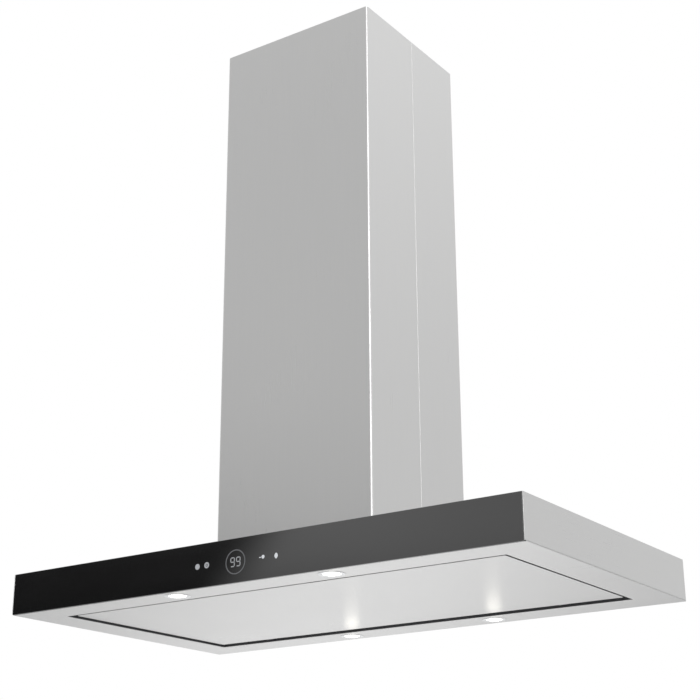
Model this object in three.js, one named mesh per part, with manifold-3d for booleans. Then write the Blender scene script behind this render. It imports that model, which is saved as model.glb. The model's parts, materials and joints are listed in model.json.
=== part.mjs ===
// Island range hood: a telescopic steel chimney hung from the ceiling over a flat canopy
// with a black glass front, a perimeter-suction panel, three grease filters and a blower.
// Millimetres, +Z up. The origin is the centre of the ceiling plate's top face, -Y is the front.
import * as THREE from 'three';
import { mergeVertices } from 'three/addons/utils/BufferGeometryUtils.js';
import Module from 'manifold-3d';

const wasm = await Module();
wasm.setup();

// ---------------------------------------------------------------- driving dimensions
const CANOPY_W = 1060;
const CANOPY_D = 600;
const CANOPY_H = 75;
const CHIMNEY_W = 338;
const CHIMNEY_D = 314;
const TOTAL_H = 1115; // ceiling to the underside of the canopy
const SEAM_Y = 3; // where the front and rear chimney covers meet

const GAP = 0.3; // between pieces that touch
const SHEET = 1.2; // canopy sheet
const COVER_SHEET = 1;
const BEND_R = 3; // outer bend radius of the chimney covers
const COVER_CLEARANCE = 1.5; // between the outer and the inner covers
const CEILING_GAP = 2; // above the outer covers

const PLATE_T = 3; // ceiling plate and frame base
const DUCT_HOLE_R = 80;
const FIXING_HOLE_R = 4.5;
const FIXING_X = 120;
const FIXING_Y = 125;
const BASE_MARGIN = 2; // from the frame base's edge to the outside of the covers
const UPPER_COVER_LEN = 420;
const UPPER_POST_LEN = 517;
const LOWER_POST_LEN = 886;
const UPPER_POST_LEG = 25;
const LOWER_POST_LEG = 22;
const POST_T = 2;

const BAND = 69; // width of the underside frame
const PANEL_W = 900;
const PANEL_D = 427;
const PANEL_RECESS = 3;
const PANEL_WALL_H = 11;
const FLANGE_H = 20; // upturned edge round the underside opening
const GLASS_T = 5;

const HINGE_X = 330;
const HINGE_Y = 219;
const HINGE_Z = 8;
const HINGE_PIN_R = 2.5;
const HINGE_BORE_R = 2.85;
const HINGE_EYE_R = 4.8;
const HINGE_LEAF = 4; // above and below the pin
const HINGE_PLAY = 0.5; // between the lug and each cheek
const CHEEK_T = 2.5;
const LUG_W = 16;
const MAGNET_W = 40;
const MAGNET_Z = [5, 13];

const LAMP_X = 162;
const LAMP_Y = 265.5;
const LAMP_HOLE_R = 18;
const LAMP_BEZEL_R = 23;
const LAMP_BODY_R = 17;
const LAMP_BORE_R = 15.6;
const LENS_R = 15;

const SHELF_Z = 26.5;
const FILTER_W = 290;
const FILTER_D = 400;
const FILTER_T = 9;
const FILTER_PITCH = 296;
const FILTER_BAR = 12;
const FILTER_Z = SHELF_Z - GAP - FILTER_T;
const MESH_INSET = 1.5; // the mesh pack is thinner than its frame by this on each face
const WINDOW_LAP = 10; // of the shelf over the filter frame
const LATCH_W = 36;
const LATCH_T = 3.4;
const LATCH_NOSE = 4; // in front of the filter frame
const LATCH_TAIL = 7; // inside the frame's pocket
const LATCH_PULL = 4.7; // of the finger pull below the frame

const BOX_W = 280; // blower box
const BOX_D = 252;
const BOX_H = 240;
const BOX_Z = CANOPY_H + GAP;
const THROAT_LAP = 3; // of the canopy's top sheet inside the blower box's walls
const SCROLL_Y = -36;
const SCROLL_Z = 178;
const SCROLL_HALF_W = 62;
const SCROLL_WALL = 2.5;
const SCROLL_R_MIN = 77;
const SCROLL_R_MAX = 100;
const SCROLL_TOP = 311;
const TONGUE_ANGLE = 100; // degrees round the impeller axis
const INLET_R = 58;
const ARM_Y = 48; // upper fixing arm of the scroll
const ARM_HALF_W = 9;
const ARM_HALF_H = 6;
const SPIDER_R = 26;
const WHEEL_R = 70;
const WHEEL_EYE_R = 57;
const WHEEL_HALF_W = 54;
const BLADES = 30;
const BLADE_CHORD = 12;
const BLADE_T = 1.2;
const BLADE_PITCH = 25; // degrees
const RING_W = 3;
const BOSS_R = 12;
const MOTOR_R = 46;
const MOTOR_CHAMFER = 6;
const MOTOR_RIGHT = -9;
const SHAFT_R = 4;
const SHAFT_SOCKET = 10; // depth of the shaft's hole in the motor
const SHAFT_END = 14;
const BORE_GAP = 0.35;

const COLLAR_R = 75;
const COLLAR_WALL = 2;
const COLLAR_H = 70;
const COLLAR_Z = BOX_Z + BOX_H + GAP;
const COLLAR_FLANGE = 13;
const LEDGE_W = 4; // stop ring that the closed flaps lie on
const LEDGE_Z = [5.5, 7.5];
const FLAP_Z = COLLAR_Z + 10;
const FLAP_R = 71.8;
const FLAP_T = 1.5;
const FLAP_PIN_R = 2;
const FLAP_BORE_R = 2.4;
const KNUCKLE_R = 4;

const DISPLAY_Z = 35;
const DISPLAY_HALF_W = 95;
const DISPLAY_HALF_H = 21;
const DISPLAY_D = 11;
const DRIVER = { x0: 280, x1: 420, y0: 240, y1: 280, top: 22 };
const TERMINAL = { x0: -138, x1: -92, y0: -124, y1: -60, height: 36 };
const GLAND_H = 18;

const ROUND = 40; // facets of a full turn
const PIN_FACETS = 24;
const LAMP_FACETS = 32;
const THROUGH = 1; // how far a cutting tool runs past the face that it cuts

const OPENING_X = CANOPY_W / 2 - BAND;
const OPENING_Y = CANOPY_D / 2 - BAND;
const WALL_X = CANOPY_W / 2 - SHEET; // inner face of a side panel
const BACK_Y = CANOPY_D / 2 - SHEET;
const GLASS_Y = -CANOPY_D / 2 + GLASS_T; // rear face of the glass

// ---------------------------------------------------------------- finishes
const FINISHES = {
  brushed_steel: { color: 0xb9bab8, roughness: 0.38, metalness: 1 },
  galvanised: { color: 0x9da2a4, roughness: 0.5, metalness: 1 },
  black_glass: { color: 0x0a0a0b, roughness: 0.06, metalness: 0 },
  aluminium: { color: 0xc6c8ca, roughness: 0.35, metalness: 1 },
  black_plastic: { color: 0x1c1d1f, roughness: 0.55, metalness: 0 },
  grey_plastic: { color: 0x6d7073, roughness: 0.5, metalness: 0 },
  white_plastic: { color: 0xe4e4e0, roughness: 0.45, metalness: 0 },
  lamp_lens: { color: 0xfffdf4, roughness: 0.3, metalness: 0, emissive: 0xfff6e0 },
  chrome: { color: 0xdcdde0, roughness: 0.15, metalness: 1 },
  motor_steel: { color: 0x55585c, roughness: 0.45, metalness: 0.8 },
};

// ---------------------------------------------------------------- shape helpers
function slab(x0, x1, y0, y1, z0, z1) {
  const geometry = new THREE.BoxGeometry(x1 - x0, y1 - y0, z1 - z0);
  return geometry.translate((x0 + x1) / 2, (y0 + y1) / 2, (z0 + z1) / 2);
}

function centredSlab(width, depth, z0, z1) {
  return slab(-width / 2, width / 2, -depth / 2, depth / 2, z0, z1);
}

function rectangle(width, depth, Kind = THREE.Shape) {
  const path = new Kind();
  path.moveTo(-width / 2, -depth / 2);
  path.lineTo(width / 2, -depth / 2);
  path.lineTo(width / 2, depth / 2);
  path.lineTo(-width / 2, depth / 2);
  path.closePath();
  return path;
}

function circleHole(x, y, radius) {
  const path = new THREE.Path();
  path.absarc(x, y, radius, 0, Math.PI * 2, false);
  return path;
}

function extrudeZ(shape, z0, z1, curveSegments = ROUND / 4) {
  const options = { depth: z1 - z0, bevelEnabled: false, curveSegments };
  return new THREE.ExtrudeGeometry(shape, options).translate(0, 0, z0);
}

// A shape drawn in (y, z) and pushed along +X.
function extrudeX(shape, x0, x1) {
  const geometry = extrudeZ(shape, x0, x1);
  return geometry.rotateX(Math.PI / 2).rotateZ(Math.PI / 2);
}

// A profile of [radius, height] points turned round the Z axis.
function turned(profile, facets = ROUND) {
  const points = [...profile, profile[0]].map(([r, z]) => new THREE.Vector2(r, z));
  return new THREE.LatheGeometry(points, facets).rotateX(Math.PI / 2);
}

function rodZ(radius, z0, z1, facets = ROUND) {
  return turned([[0, z0], [radius, z0], [radius, z1], [0, z1]], facets);
}

function rodX(radius, x0, x1, y = 0, z = 0, facets = PIN_FACETS) {
  return rodZ(radius, x0, x1, facets).rotateY(Math.PI / 2).translate(0, y, z);
}

function toSolid(shape) {
  if (shape instanceof wasm.Manifold) return shape;
  const bare = shape.clone();
  bare.deleteAttribute('normal');
  bare.deleteAttribute('uv');
  const merged = mergeVertices(bare, 1e-4);
  return new wasm.Manifold(new wasm.Mesh({
    numProp: 3,
    vertProperties: new Float32Array(merged.attributes.position.array),
    triVerts: new Uint32Array(merged.index.array),
  }));
}

function toGeometry(shape) {
  if (shape instanceof THREE.BufferGeometry) return shape;
  const mesh = shape.getMesh();
  const geometry = new THREE.BufferGeometry();
  geometry.setAttribute('position', new THREE.BufferAttribute(mesh.vertProperties, 3));
  geometry.setIndex(new THREE.BufferAttribute(mesh.triVerts, 1));
  geometry.computeVertexNormals();
  return geometry;
}

function join(...shapes) {
  return shapes.map(toSolid).reduce((whole, next) => whole.add(next));
}

function cut(shape, ...tools) {
  return tools.map(toSolid).reduce((whole, next) => whole.subtract(next), toSolid(shape));
}

function piece(name, finish, shape, x = 0, y = 0, z = 0) {
  const material = new THREE.MeshStandardMaterial(FINISHES[finish]);
  const mesh = new THREE.Mesh(toGeometry(shape), material);
  mesh.name = name;
  mesh.position.set(x, y, z);
  return mesh;
}

function assembly(z, ...members) {
  const group = new THREE.Group();
  group.position.z = z;
  group.add(...members.flat());
  return group;
}

// ---------------------------------------------------------------- ceiling mount
// A U-shaped cover with rounded bends; side is -1 for the front half and 1 for the rear half.
function coverOutline(width, depth, sheet, bend, seam, side) {
  const corner = depth / 2;
  const shape = new THREE.Shape();
  const run = (halfWidth, reach, radius, forwards) => {
    const turn = [];
    for (let step = 0; step <= 4; step += 1) {
      const angle = (step / 4) * (Math.PI / 2);
      const x = halfWidth - radius + radius * Math.cos(angle);
      const y = reach - radius + radius * Math.sin(angle);
      turn.push([x, side * y]);
    }
    const right = [[halfWidth, seam], ...turn];
    const left = right.map(([x, y]) => [-x, y]).reverse();
    const points = [...right, ...left];
    return forwards ? points : points.reverse();
  };
  const outer = run(width / 2, corner, bend, true);
  const inner = run(width / 2 - sheet, corner - sheet, bend - sheet, false);
  shape.setFromPoints([...outer, ...inner].map(([x, y]) => new THREE.Vector2(x, y)));
  return shape;
}

function chimneyCover(name, width, depth, bend, seam, side, z0, z1) {
  const shape = coverOutline(width, depth, COVER_SHEET, bend, seam + side * GAP / 2, side);
  return piece(name, 'brushed_steel', extrudeZ(shape, z0, z1));
}

function angleOutline(leg) {
  const shape = new THREE.Shape();
  shape.moveTo(0, 0);
  shape.lineTo(leg, 0);
  shape.lineTo(leg, POST_T);
  shape.lineTo(POST_T, POST_T);
  shape.lineTo(POST_T, leg);
  shape.lineTo(0, leg);
  shape.closePath();
  return shape;
}

// Four steel angles, one in each corner, with their outer faces at x and y.
function posts(prefix, leg, x, y, z0, length) {
  const corners = [['front_left', -x, -y, 0], ['front_right', x, -y, 1],
    ['rear_right', x, y, 2], ['rear_left', -x, y, 3]];
  return corners.map(([corner, px, py, quarter]) => {
    const angle = extrudeZ(angleOutline(leg), z0, z0 + length);
    const mesh = piece(`${prefix}_${corner}`, 'galvanised', angle, px, py);
    mesh.rotation.z = quarter * Math.PI / 2;
    return mesh;
  });
}

const INNER_COVER_W = CHIMNEY_W - 2 * (COVER_SHEET + COVER_CLEARANCE);
const INNER_COVER_D = CHIMNEY_D - 2 * (COVER_SHEET + COVER_CLEARANCE);
const POST_CLEARANCE = 1; // from the upper posts to the upper covers
const POST_PLAY = 0.4; // from the lower posts to the upper posts
const UPPER_POST_X = INNER_COVER_W / 2 - COVER_SHEET - POST_CLEARANCE;
const UPPER_POST_Y = INNER_COVER_D / 2 - COVER_SHEET - POST_CLEARANCE;
const LOWER_POST_X = UPPER_POST_X - POST_T - POST_PLAY;
const LOWER_POST_Y = UPPER_POST_Y - POST_T - POST_PLAY;

function ceilingPlate() {
  const shape = rectangle(2 * UPPER_POST_X, 2 * UPPER_POST_Y);
  shape.holes.push(circleHole(0, 0, DUCT_HOLE_R));
  for (const x of [-FIXING_X, FIXING_X]) {
    for (const y of [-FIXING_Y, FIXING_Y]) shape.holes.push(circleHole(x, y, FIXING_HOLE_R));
  }
  return piece('ceiling_plate', 'galvanised', extrudeZ(shape, -PLATE_T, 0));
}

function ceilingMount() {
  const top = -PLATE_T - GAP;
  const coverBottom = top - UPPER_COVER_LEN;
  const postBottom = top - UPPER_POST_LEN;
  const inner = [INNER_COVER_W, INNER_COVER_D, BEND_R - COVER_SHEET];
  return assembly(0, [
    ceilingPlate(),
    posts('upper_post', UPPER_POST_LEG, UPPER_POST_X, UPPER_POST_Y, postBottom, UPPER_POST_LEN),
    chimneyCover('upper_cover_front', ...inner, 0, -1, coverBottom, top),
    chimneyCover('upper_cover_rear', ...inner, 0, 1, coverBottom, top),
  ].flat());
}

// ---------------------------------------------------------------- lower frame and chimney
// From here on z = 0 is the underside of the canopy.
function frameBase() {
  const shape = rectangle(CHIMNEY_W - 2 * BASE_MARGIN, CHIMNEY_D - 2 * BASE_MARGIN);
  shape.holes.push(rectangle(BOX_W + 2, BOX_D + 2, THREE.Path));
  return piece('frame_base', 'galvanised', extrudeZ(shape, BOX_Z, BOX_Z + PLATE_T));
}

function lowerFrame() {
  const foot = BOX_Z + PLATE_T + GAP;
  const top = TOTAL_H - CEILING_GAP;
  return [
    frameBase(),
    posts('lower_post', LOWER_POST_LEG, LOWER_POST_X, LOWER_POST_Y, foot, LOWER_POST_LEN),
    chimneyCover('lower_cover_front', CHIMNEY_W, CHIMNEY_D, BEND_R, SEAM_Y, -1, BOX_Z, top),
    chimneyCover('lower_cover_rear', CHIMNEY_W, CHIMNEY_D, BEND_R, SEAM_Y, 1, BOX_Z, top),
  ].flat();
}

// ---------------------------------------------------------------- canopy
// The top sheet lies between the side panels; the throat under the blower goes through it.
function canopyTop() {
  const x = WALL_X - GAP;
  const bottom = CANOPY_H - SHEET;
  const sheet = slab(-x, x, GLASS_Y + GAP, CANOPY_D / 2, bottom, CANOPY_H);
  const [width, depth] = [BOX_W - 2 * THROAT_LAP, BOX_D - 2 * THROAT_LAP];
  const throat = centredSlab(width, depth, bottom - THROUGH, CANOPY_H + THROUGH);
  return piece('canopy_top', 'brushed_steel', cut(sheet, throat));
}

function canopySide(name, side) {
  const outer = side * CANOPY_W / 2;
  const inner = side * WALL_X;
  const [x0, x1] = [Math.min(outer, inner), Math.max(outer, inner)];
  const wall = slab(x0, x1, -CANOPY_D / 2, CANOPY_D / 2, SHEET + GAP, CANOPY_H);
  return piece(name, 'brushed_steel', wall);
}

function canopyRear() {
  const x = WALL_X - GAP;
  const top = CANOPY_H - SHEET - GAP;
  return piece('canopy_rear', 'brushed_steel', slab(-x, x, BACK_Y, CANOPY_D / 2, SHEET + GAP, top));
}

function frontGlass() {
  const x = WALL_X - GAP;
  return piece('front_glass', 'black_glass', slab(-x, x, -CANOPY_D / 2, GLASS_Y, 0, CANOPY_H));
}

// The steel strip behind the glass, with a window for the display module.
function frontCarrier() {
  const x = WALL_X - GAP;
  const y = GLASS_Y + GAP;
  const plate = slab(-x, x, y, y + SHEET, SHEET + GAP, CANOPY_H - SHEET - GAP);
  const halfW = DISPLAY_HALF_W + 1;
  const halfH = DISPLAY_HALF_H + 1;
  const [front, back] = [y - THROUGH, y + SHEET + THROUGH];
  const window = slab(-halfW, halfW, front, back, DISPLAY_Z - halfH, DISPLAY_Z + halfH);
  return piece('front_carrier', 'galvanised', cut(plate, window));
}

function bottomFrame() {
  const front = GLASS_Y + GAP;
  const opening = centredSlab(2 * OPENING_X, 2 * OPENING_Y, -THROUGH, FLANGE_H + THROUGH);
  const sheet = slab(-CANOPY_W / 2, CANOPY_W / 2, front, CANOPY_D / 2, 0, SHEET);
  const collar = centredSlab(2 * (OPENING_X + SHEET), 2 * (OPENING_Y + SHEET), 0, FLANGE_H);
  const hole = () => rodZ(LAMP_HOLE_R, -THROUGH, SHEET + THROUGH, LAMP_FACETS);
  const holes = lampPlaces().map(([, x, y]) => hole().translate(x, y, 0));
  return piece('bottom_frame', 'brushed_steel', cut(join(sheet, collar), opening, ...holes));
}

// ---------------------------------------------------------------- filters and their shelf
const RAIL_Y = FILTER_D / 2 + 6;
const LIP_Z = FILTER_Z - 1.6;
const FRONT_LIP = 4.5; // the latches hook over this lip
const REAR_LIP = 10; // the filters' rear edges rest on this one
const BAY_Y = -280; // front of the plenum, behind the control bay
const SHELF_PLAY = 1;

function filterShelf() {
  const x = WALL_X - SHELF_PLAY;
  const plate = slab(-x, x, BAY_Y, BACK_Y - SHELF_PLAY, SHELF_Z, SHELF_Z + SHEET);
  const bayWall = slab(-x, x, BAY_Y, BAY_Y + SHEET, SHELF_Z, CANOPY_H - SHEET - GAP);
  const reach = 1.5 * FILTER_PITCH;
  const web = (y) => slab(-reach, reach, y, y + SHEET, LIP_Z, SHELF_Z + SHEET);
  const rails = [
    web(-RAIL_Y - SHEET),
    slab(-reach, reach, -RAIL_Y - SHEET, -RAIL_Y + FRONT_LIP, LIP_Z, LIP_Z + SHEET),
    web(RAIL_Y),
    slab(-reach, reach, RAIL_Y - REAR_LIP, RAIL_Y + SHEET, LIP_Z, LIP_Z + SHEET),
  ];
  const [width, depth] = [FILTER_W - 2 * WINDOW_LAP, FILTER_D - 2 * WINDOW_LAP];
  const window = (n) => centredSlab(width, depth, SHELF_Z - THROUGH, SHELF_Z + SHEET + THROUGH)
    .translate(n * FILTER_PITCH, 0, 0);
  const windows = [-1, 0, 1].map(window);
  return piece('filter_shelf', 'galvanised', cut(join(plate, bayWall, ...rails), ...windows));
}

// Bars round the mesh, with a pocket in the front bar for the latch.
function filterFrame() {
  const bars = centredSlab(FILTER_W, FILTER_D, 0, FILTER_T);
  const [width, depth] = [FILTER_W - 2 * FILTER_BAR, FILTER_D - 2 * FILTER_BAR];
  const middle = centredSlab(width, depth, -THROUGH, FILTER_T + THROUGH);
  const reach = LATCH_W / 2 + 1;
  const front = -FILTER_D / 2;
  const back = front + FILTER_BAR - 0.2;
  const pocket = slab(-reach, reach, front - THROUGH, back, -THROUGH, LATCH_T + 2 * GAP);
  return cut(bars, middle, pocket);
}

function filterLatch() {
  const half = LATCH_W / 2;
  const front = -FILTER_D / 2;
  const slider = slab(-half, half, front - LATCH_NOSE, front + LATCH_TAIL, GAP, GAP + LATCH_T);
  const pull = slab(-half, half, front + LATCH_NOSE, front + LATCH_TAIL, -LATCH_PULL, GAP + THROUGH);
  return join(slider, pull);
}

function filterCassette(n) {
  const x = (n - 2) * FILTER_PITCH;
  const inset = 2 * FILTER_BAR + 1;
  const mesh = centredSlab(FILTER_W - inset, FILTER_D - inset, MESH_INSET, FILTER_T - MESH_INSET);
  return [
    piece(`filter_frame_${n}`, 'aluminium', filterFrame(), x, 0, FILTER_Z),
    piece(`filter_mesh_${n}`, 'aluminium', mesh, x, 0, FILTER_Z),
    piece(`filter_latch_${n}`, 'black_plastic', filterLatch(), x, 0, FILTER_Z),
  ];
}

// ---------------------------------------------------------------- lamps
function lampPlaces() {
  return [['front_left', -LAMP_X, -LAMP_Y], ['front_right', LAMP_X, -LAMP_Y],
    ['rear_left', -LAMP_X, LAMP_Y], ['rear_right', LAMP_X, LAMP_Y]];
}

// A cup behind the hole with a thin bezel under it; z = 0 is the face of the frame.
function lampHousing() {
  const [floor, lip, shoulder, top] = [4.5, -1, 14, 20];
  return turned([[0, floor], [LAMP_BORE_R, floor], [LAMP_BORE_R, -GAP], [LAMP_BODY_R, lip],
    [LAMP_BEZEL_R - 1.5, lip], [LAMP_BEZEL_R, -GAP], [LAMP_BODY_R, -GAP], [LAMP_BODY_R, shoulder],
    [LAMP_BODY_R - 3, top], [0, top]], LAMP_FACETS);
}

function lampLens() {
  const [crown, edge, back] = [0.2, 0.9, 4];
  const profile = [[0, crown], [0.6 * LENS_R, crown + 0.1], [LENS_R, edge], [LENS_R, back], [0, back]];
  return turned(profile, LAMP_FACETS);
}

function lamps() {
  return lampPlaces().flatMap(([place, x, y]) => [
    piece(`lamp_housing_${place}`, 'aluminium', lampHousing(), x, y),
    piece(`lamp_lens_${place}`, 'lamp_lens', lampLens(), x, y),
  ]);
}

// ---------------------------------------------------------------- perimeter panel and hinges
function hingeEye(x0, x1, y0, y1, z0, z1) {
  return [rodX(HINGE_EYE_R, x0, x1, HINGE_Y, HINGE_Z), slab(x0, x1, y0, y1, z0, z1)];
}

function perimeterPanel() {
  const top = PANEL_RECESS + PANEL_WALL_H;
  const tray = centredSlab(PANEL_W, PANEL_D, PANEL_RECESS, top);
  const [width, depth] = [PANEL_W - 2 * SHEET, PANEL_D - 2 * SHEET];
  const hollow = centredSlab(width, depth, PANEL_RECESS + SHEET, top + THROUGH);
  const root = PANEL_D / 2 - SHEET / 2;
  const lugs = [-HINGE_X, HINGE_X].flatMap((x) => hingeEye(
    x - LUG_W / 2, x + LUG_W / 2, root, HINGE_Y, HINGE_Z - HINGE_LEAF, HINGE_Z + HINGE_LEAF));
  const bores = [-HINGE_X, HINGE_X].map((x) => rodX(HINGE_BORE_R, x - LUG_W, x + LUG_W, HINGE_Y, HINGE_Z));
  return piece('perimeter_panel', 'brushed_steel', cut(join(cut(tray, hollow), ...lugs), ...bores));
}

function hingeBracket(name, x) {
  const back = OPENING_Y - GAP;
  const inner = LUG_W / 2 + HINGE_PLAY;
  const outer = inner + CHEEK_T;
  const foot = slab(x - outer, x + outer, back - 2, back, HINGE_Z - HINGE_LEAF, HINGE_Z + 10);
  const cheeks = [-1, 1].flatMap((side) => {
    const [x0, x1] = side < 0 ? [x - outer, x - inner] : [x + inner, x + outer];
    return hingeEye(x0, x1, HINGE_Y, back - 1, HINGE_Z - HINGE_LEAF, HINGE_Z + HINGE_EYE_R);
  });
  const bore = rodX(HINGE_BORE_R, x - LUG_W, x + LUG_W, HINGE_Y, HINGE_Z);
  return piece(name, 'galvanised', cut(join(foot, ...cheeks), bore));
}

function hingePin(name, x) {
  const half = LUG_W / 2 + HINGE_PLAY + CHEEK_T + 0.6;
  const shank = rodX(HINGE_PIN_R, -half, half);
  const head = rodX(HINGE_PIN_R + 1.2, half - 0.2, half + 1.3);
  return piece(name, 'chrome', join(shank, head), x, HINGE_Y, HINGE_Z);
}

function panelMagnet(name, x) {
  const front = -OPENING_Y + GAP;
  const rear = -PANEL_D / 2 - 2 * GAP;
  return piece(name, 'black_plastic', slab(x - MAGNET_W / 2, x + MAGNET_W / 2, front, rear, ...MAGNET_Z));
}

// ---------------------------------------------------------------- blower
function blowerBox() {
  const top = BOX_Z + BOX_H;
  const shell = centredSlab(BOX_W, BOX_D, BOX_Z, top);
  const hollow = centredSlab(BOX_W - 2 * SHEET, BOX_D - 2 * SHEET, BOX_Z - THROUGH, top - SHEET);
  const outlet = rodZ(COLLAR_R - 3, top - SHEET - THROUGH, top + THROUGH);
  return piece('blower_box', 'galvanised', cut(shell, hollow, outlet));
}

// The scroll: its radius grows evenly with the angle from the tongue round to +Y, then a
// straight duct rises from there to the outlet.
function scrollOutline(inset, top) {
  const points = [];
  const steps = 26;
  for (let step = 1; step <= steps; step += 1) {
    const share = step / steps;
    const angle = THREE.MathUtils.degToRad(TONGUE_ANGLE + share * (360 - TONGUE_ANGLE));
    const radius = SCROLL_R_MIN + share * (SCROLL_R_MAX - SCROLL_R_MIN) - inset;
    points.push([SCROLL_Y + radius * Math.cos(angle), SCROLL_Z + radius * Math.sin(angle)]);
  }
  const tongueY = SCROLL_Y + SCROLL_R_MIN * Math.cos(THREE.MathUtils.degToRad(TONGUE_ANGLE));
  const ductLeft = tongueY - SCROLL_WALL + inset;
  points.push([SCROLL_Y + SCROLL_R_MAX - inset, top]);
  points.push([ductLeft, top]);
  points.push([ductLeft, SCROLL_Z + SCROLL_R_MIN - inset]);
  return new THREE.Shape(points.map(([y, z]) => new THREE.Vector2(y, z)));
}

function scrollHalf(side) {
  const inside = SCROLL_HALF_W - SCROLL_WALL;
  const span = (from, to) => (side < 0 ? [-to, -from] : [from, to]);
  const body = extrudeX(scrollOutline(0, SCROLL_TOP), ...span(GAP / 2, SCROLL_HALF_W));
  const hollow = extrudeX(scrollOutline(SCROLL_WALL, SCROLL_TOP + 10), ...span(-THROUGH, inside));
  const inlet = rodX(INLET_R, ...span(inside - 2, SCROLL_HALF_W + 2), SCROLL_Y, SCROLL_Z, ROUND);
  const armSpan = span(inside + SCROLL_WALL / 5, BOX_W / 2 - SHEET - GAP);
  const arm = (y, z) => slab(...armSpan, y - ARM_HALF_W, y + ARM_HALF_W, z - ARM_HALF_H, z + ARM_HALF_H);
  const lowerArm = arm(SCROLL_Y, SCROLL_Z - SCROLL_R_MIN);
  return join(cut(body, hollow, inlet), lowerArm, arm(ARM_Y, SCROLL_TOP - 30));
}

// The left half also carries the motor on a three-armed spider across its inlet.
function scrollLeft() {
  const [x0, x1] = [-SCROLL_HALF_W + 0.25, -SCROLL_HALF_W + SCROLL_WALL - 0.25];
  const disc = rodX(SPIDER_R, x0 - 0.1, x1 + 0.1, SCROLL_Y, SCROLL_Z);
  const arms = [0, 120, 240].map((degrees) => slab(x0, x1, -6, 6, SPIDER_R - 6, INLET_R + 4)
    .rotateX(THREE.MathUtils.degToRad(degrees)).translate(0, SCROLL_Y, SCROLL_Z));
  return piece('scroll_left', 'black_plastic', join(scrollHalf(-1), disc, ...arms));
}

const MOTOR_LEFT = -SCROLL_HALF_W + SCROLL_WALL + GAP;

function motorBody() {
  const face = MOTOR_R - MOTOR_CHAMFER;
  const bore = SHAFT_R + BORE_GAP;
  const socket = MOTOR_LEFT + SHAFT_SOCKET;
  const can = turned([[0, MOTOR_LEFT], [face, MOTOR_LEFT], [MOTOR_R, MOTOR_LEFT + MOTOR_CHAMFER],
    [MOTOR_R, MOTOR_RIGHT - MOTOR_CHAMFER], [face, MOTOR_RIGHT], [bore, MOTOR_RIGHT],
    [bore, socket], [0, socket]], PIN_FACETS);
  return piece('motor_body', 'motor_steel', can.rotateY(Math.PI / 2), 0, SCROLL_Y, SCROLL_Z);
}

function motorShaft() {
  const shaft = rodX(SHAFT_R, MOTOR_LEFT + SHAFT_SOCKET + 1, SHAFT_END);
  return piece('motor_shaft', 'chrome', shaft, 0, SCROLL_Y, SCROLL_Z);
}

function impeller() {
  const ring = (x0) => turned([[WHEEL_EYE_R, x0], [WHEEL_R, x0], [WHEEL_R, x0 + RING_W],
    [WHEEL_EYE_R, x0 + RING_W]]).rotateY(Math.PI / 2);
  const disc = rodX(WHEEL_R, -RING_W / 2, RING_W / 2, 0, 0, ROUND);
  const boss = rodX(BOSS_R, -6, 10);
  const blades = [];
  for (let n = 0; n < BLADES; n += 1) {
    const blade = new THREE.BoxGeometry(2 * (WHEEL_HALF_W - 1), BLADE_T, BLADE_CHORD);
    blade.rotateX(THREE.MathUtils.degToRad(BLADE_PITCH)).translate(0, 0, (WHEEL_R + WHEEL_EYE_R) / 2);
    blades.push(blade.rotateX((n / BLADES) * Math.PI * 2));
  }
  const whole = join(disc, boss, ring(-WHEEL_HALF_W), ring(WHEEL_HALF_W - RING_W), ...blades);
  const bored = cut(whole, rodX(SHAFT_R + BORE_GAP, -BOSS_R, 2 * BOSS_R));
  return piece('impeller', 'grey_plastic', bored, 0, SCROLL_Y, SCROLL_Z);
}

// ---------------------------------------------------------------- outlet collar and flaps
function outletCollar() {
  const inner = COLLAR_R - COLLAR_WALL;
  const flange = COLLAR_R + COLLAR_FLANGE;
  const ledge = inner - LEDGE_W;
  const [ledgeBottom, ledgeTop] = LEDGE_Z;
  const tube = turned([[inner, 0], [flange, 0], [flange, COLLAR_WALL], [COLLAR_R, COLLAR_WALL],
    [COLLAR_R, COLLAR_H], [inner, COLLAR_H], [inner, ledgeTop], [ledge, ledgeTop],
    [ledge, ledgeBottom], [inner, ledgeBottom]]);
  const pinHole = rodX(FLAP_BORE_R, -flange, flange, 0, FLAP_Z - COLLAR_Z);
  return piece('outlet_collar', 'black_plastic', cut(tube, pinHole), 0, 0, COLLAR_Z);
}

function halfDisc(side) {
  const shape = new THREE.Shape();
  const edge = KNUCKLE_R + 0.6;
  const start = Math.asin(edge / FLAP_R);
  const [from, to] = side > 0 ? [start, Math.PI - start] : [Math.PI + start, 2 * Math.PI - start];
  shape.absarc(0, 0, FLAP_R, from, to, false);
  shape.closePath();
  return extrudeZ(shape, -FLAP_T / 2, FLAP_T / 2, 20);
}

// Each flap has two knuckles on the shared pin; spans are their [x0, x1] stretches.
function damperFlap(name, side, spans) {
  const solids = [halfDisc(side)];
  for (const [x0, x1] of spans) {
    const reach = side * (KNUCKLE_R + 1.5);
    solids.push(rodX(KNUCKLE_R, x0, x1));
    solids.push(slab(x0, x1, Math.min(0, reach), Math.max(0, reach), -FLAP_T / 2, FLAP_T / 2));
  }
  const flap = cut(join(...solids), rodX(FLAP_BORE_R, -COLLAR_R, COLLAR_R));
  return piece(name, 'black_plastic', flap, 0, 0, FLAP_Z);
}

function damper() {
  const reach = COLLAR_R + 1.5;
  return [
    damperFlap('damper_flap_front', -1, [[-62, -32], [1, 31]]),
    damperFlap('damper_flap_rear', 1, [[-31, -1], [32, 62]]),
    piece('damper_pin', 'chrome', rodX(FLAP_PIN_R, -reach, reach), 0, 0, FLAP_Z),
  ];
}

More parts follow.
